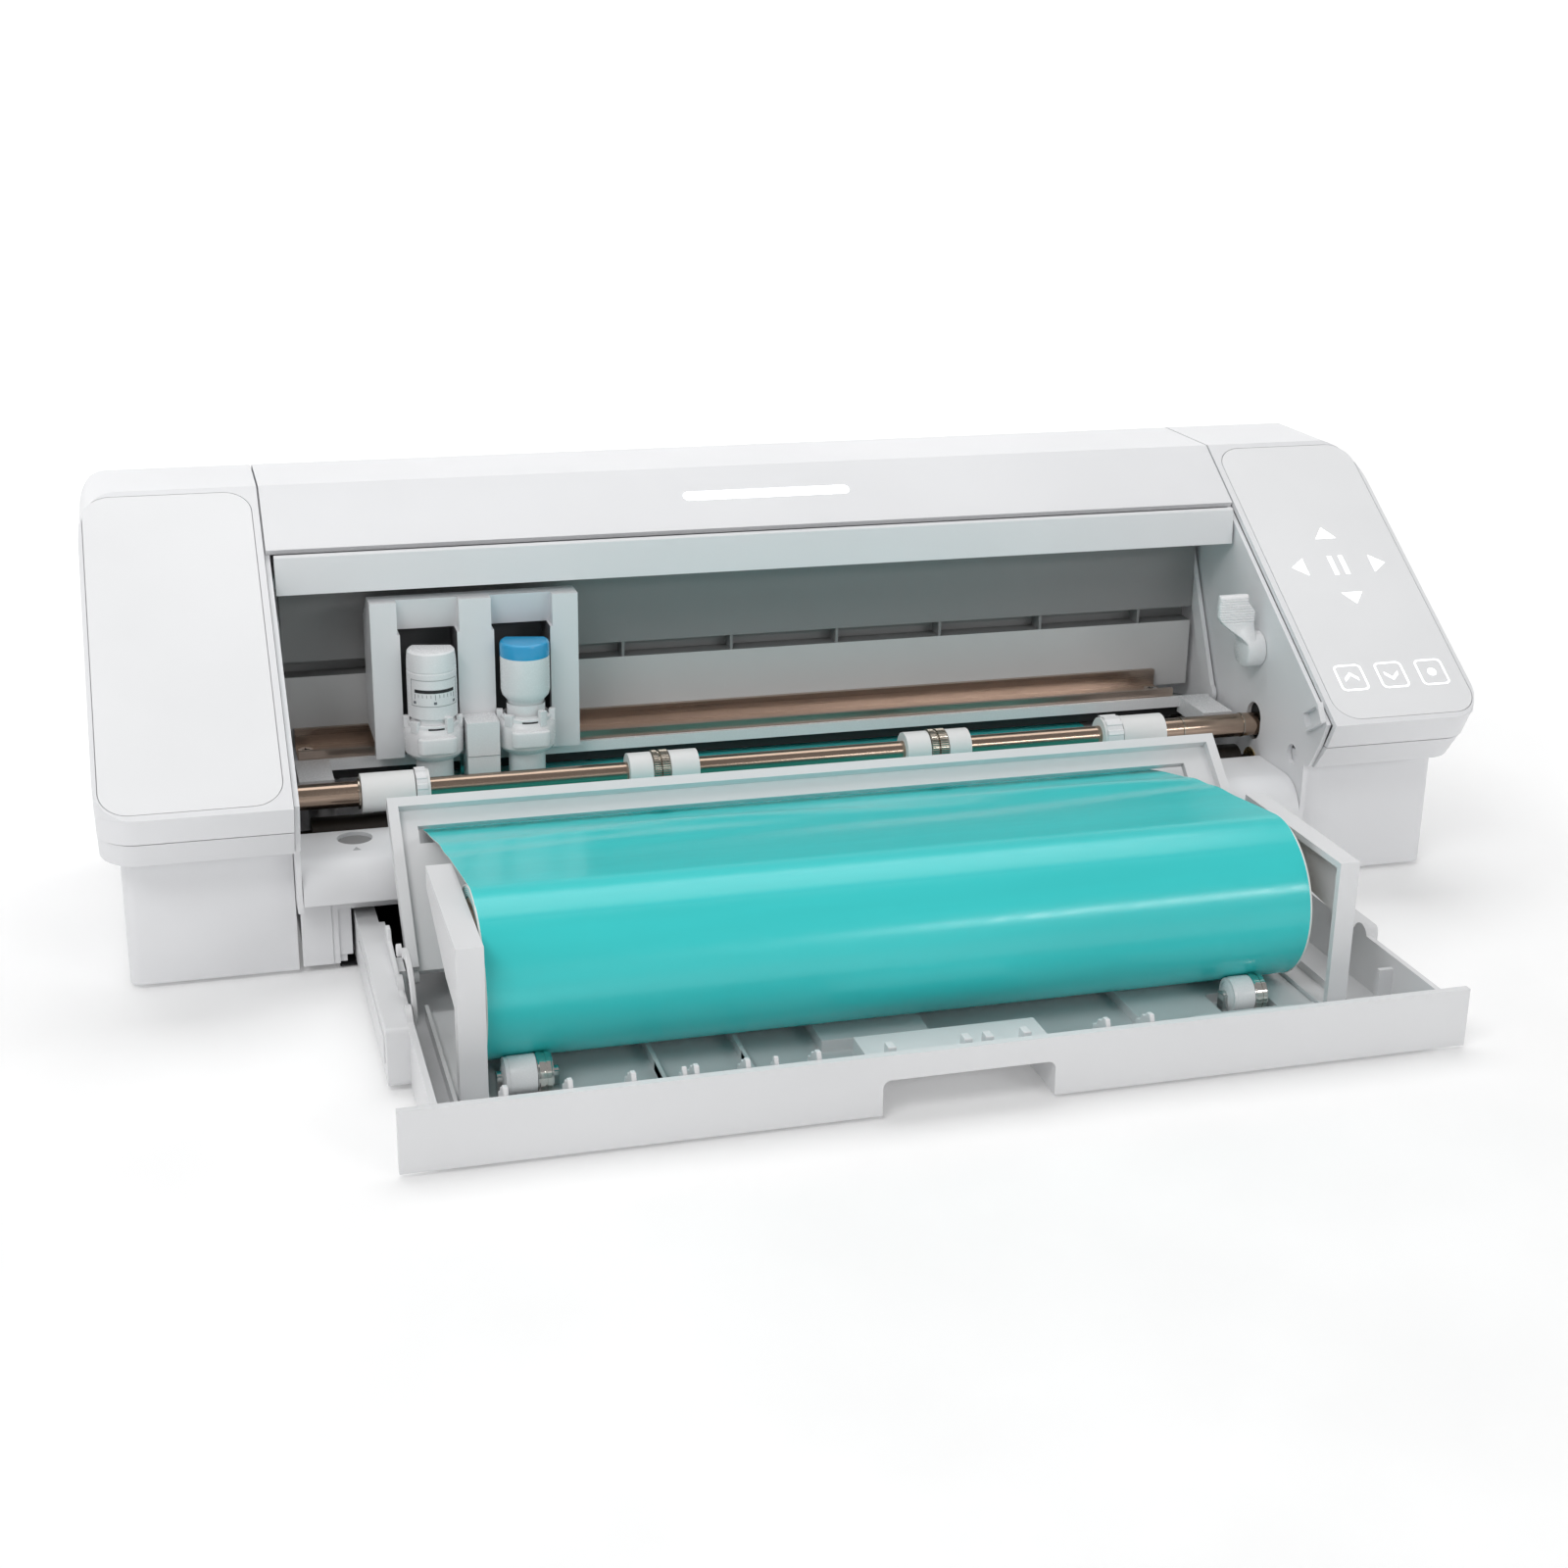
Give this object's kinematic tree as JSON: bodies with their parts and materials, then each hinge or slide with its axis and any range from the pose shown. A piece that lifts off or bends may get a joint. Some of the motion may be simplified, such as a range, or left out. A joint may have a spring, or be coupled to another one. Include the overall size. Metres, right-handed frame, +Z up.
{
  "type": "vinyl cutter",
  "caption": "Desktop vinyl cutter with a tilting lid, twin tool carriage, pinch rollers, touch panel and a pull-out roll feeder loaded with vinyl.",
  "frame": {"origin": "on the table, under the middle of the whole footprint with the drawer pulled out", "axes": "+X to the user's right along the machine, +Y from the front to the back, +Z up"},
  "size_m": [0.57, 0.336, 0.172],
  "materials": {
    "white_shell": "matt fine grain",
    "trim_grey": "satin",
    "panel_white": "smooth satin",
    "lit_mark": "lit",
    "feeder_white": "satin",
    "bright_white": "satin",
    "bearing_black": "satin",
    "cap_blue": "glossy",
    "foot_rubber": "matt",
    "belt_rubber": "matt, toothed inside",
    "roller_rubber": "matt",
    "bronze_shaft": "bronze anodised satin",
    "bronze_rail": "bronze anodised satin",
    "grit_steel": "fine grit",
    "steel": "satin",
    "brass": "turned",
    "motor_case": "satin black",
    "board_green": "solder mask",
    "vinyl": "satin film",
    "card": "raw board"
  },
  "bodies": {
    "machine": {"base_pan": "white_shell", "rubber_feet": "foot_rubber", "left_pedestal": "white_shell", "right_pedestal": "white_shell", "left_lower_shell": "trim_grey", "right_lower_shell": "trim_grey", "left_upper_shell": "white_shell", "right_upper_shell": "white_shell", "left_top_panel": "panel_white", "control_panel": "panel_white", "touch_icons": "lit_mark", "top_strip": "white_shell", "light_bar": "lit_mark", "rear_cover": "white_shell", "back_wall": "white_shell", "left_side_plate": "white_shell", "right_side_plate": "white_shell", "carriage_rail": "bronze_rail", "rail_screws": "steel", "sheet_guide": "feeder_white", "front_deck": "white_shell", "platen": "steel", "feed_bearings": "brass", "feed_motor": "motor_case", "carriage_motor": "motor_case", "idler_post": "steel", "control_board": "board_green", "power_inlet": "motor_case", "usb_port": "steel", "drive_belt": "belt_rubber", "vinyl_sheet": "vinyl"},
    "lid": {"lid": "white_shell"},
    "carriage": {"carriage_cover": "white_shell", "carriage_block": "steel", "sensor_block": "bright_white"},
    "blade_tool": {"blade_tool": "bright_white", "blade_tool_clamp": "bright_white"},
    "pen_tool": {"pen_tool": "bright_white", "pen_tool_cap": "cap_blue", "pen_tool_clamp": "bright_white"},
    "drive_pulley": {"drive_pulley": "steel"},
    "idler_pulley": {"idler_pulley": "steel"},
    "feed_roller": {"feed_roller": "grit_steel", "feed_gear": "bright_white"},
    "motor_pinion": {"motor_pinion": "brass"},
    "pinch_lift": {"pinch_bearings": "bearing_black"},
    "pinch_shaft": {"pinch_shaft": "bronze_shaft", "pinch_rollers": "roller_rubber", "pinch_rings": "steel"},
    "release_lever": {"release_lever": "bright_white"},
    "drawer": {"drawer_tray": "feeder_white", "drawer_front": "feeder_white", "drawer_rails": "feeder_white", "roll_guides": "feeder_white", "wheel_pins": "steel"},
    "flap": {"flap": "feeder_white"},
    "front_wheels": {"front_wheels": "bright_white"},
    "rear_wheels": {"rear_wheels": "bright_white"},
    "vinyl_roll": {"vinyl_roll": "vinyl", "roll_core": "card"}
  },
  "joints": [
    {"name": "lid_hinge", "type": "hinge", "parent": "machine", "child": "lid", "pos_m": [0, 0.08, 0.0625], "axis": [1, 0, 0], "range_deg": [0, 61.4]},
    {"name": "carriage_slide", "type": "slide", "parent": "machine", "child": "carriage", "axis": [1, 0, 0], "range_m": [-0.03, 0.275]},
    {"name": "blade_tool_press", "type": "slide", "parent": "carriage", "child": "blade_tool", "axis": [0, 0, -1], "range_m": [0, 0.003]},
    {"name": "pen_tool_press", "type": "slide", "parent": "carriage", "child": "pen_tool", "axis": [0, 0, -1], "range_m": [0, 0.003]},
    {"name": "drive_pulley_spin", "type": "hinge", "parent": "machine", "child": "drive_pulley", "pos_m": [0.196, 0.089, 0.055], "axis": [0, 0, 1], "continuous": true},
    {"name": "idler_pulley_spin", "type": "hinge", "parent": "machine", "child": "idler_pulley", "pos_m": [-0.196, 0.089, 0.055], "axis": [0, 0, 1], "continuous": true},
    {"name": "feed_spin", "type": "hinge", "parent": "machine", "child": "feed_roller", "pos_m": [0, 0.04, 0.0428], "axis": [1, 0, 0], "continuous": true},
    {"name": "motor_pinion_spin", "type": "hinge", "parent": "machine", "child": "motor_pinion", "pos_m": [-0.224, 0.04, 0.0681], "axis": [1, 0, 0], "continuous": true},
    {"name": "release_lever_turn", "type": "hinge", "parent": "machine", "child": "release_lever", "pos_m": [0.207, 0.041, 0.095], "axis": [-1, 0, 0], "range_deg": [0, 50]},
    {"name": "pinch_lift_slide", "type": "slide", "parent": "machine", "child": "pinch_lift", "axis": [0, 0, 1], "range_m": [0, 0.004]},
    {"name": "pinch_spin", "type": "hinge", "parent": "pinch_lift", "child": "pinch_shaft", "pos_m": [0, 0.04, 0.0601], "axis": [1, 0, 0], "continuous": true},
    {"name": "drawer_slide", "type": "slide", "parent": "machine", "child": "drawer", "axis": [0, 1, 0], "range_m": [0, 0.012], "deforming": ["vinyl_sheet"]},
    {"name": "flap_tilt", "type": "hinge", "parent": "drawer", "child": "flap", "pos_m": [0, -0.0496, 0.0174], "axis": [1, 0, 0], "range_deg": [0, 4]},
    {"name": "front_wheels_spin", "type": "hinge", "parent": "drawer", "child": "front_wheels", "pos_m": [0, -0.1257, 0.0115], "axis": [1, 0, 0], "continuous": true},
    {"name": "rear_wheels_spin", "type": "hinge", "parent": "drawer", "child": "rear_wheels", "pos_m": [0, -0.0763, 0.0115], "axis": [1, 0, 0], "continuous": true},
    {"name": "vinyl_roll_spin", "type": "hinge", "parent": "drawer", "child": "vinyl_roll", "pos_m": [-0.0046, -0.101, 0.0406], "axis": [1, 0, 0], "continuous": true}
  ],
  "couplings": [
    {"joint": "drive_pulley_spin", "follows": "carriage_slide", "rad_per_m": 115.61},
    {"joint": "idler_pulley_spin", "follows": "carriage_slide", "rad_per_m": 115.61},
    {"joint": "motor_pinion_spin", "follows": "feed_spin", "ratio": -4},
    {"joint": "pinch_spin", "follows": "feed_spin", "ratio": -1},
    {"joint": "vinyl_roll_spin", "follows": "feed_spin", "ratio": 0.25806},
    {"joint": "front_wheels_spin", "follows": "feed_spin", "ratio": -1.1429},
    {"joint": "rear_wheels_spin", "follows": "feed_spin", "ratio": -1.1429},
    {"joint": "release_lever_turn", "follows": "pinch_lift_slide", "rad_per_m": 218.17}
  ]
}
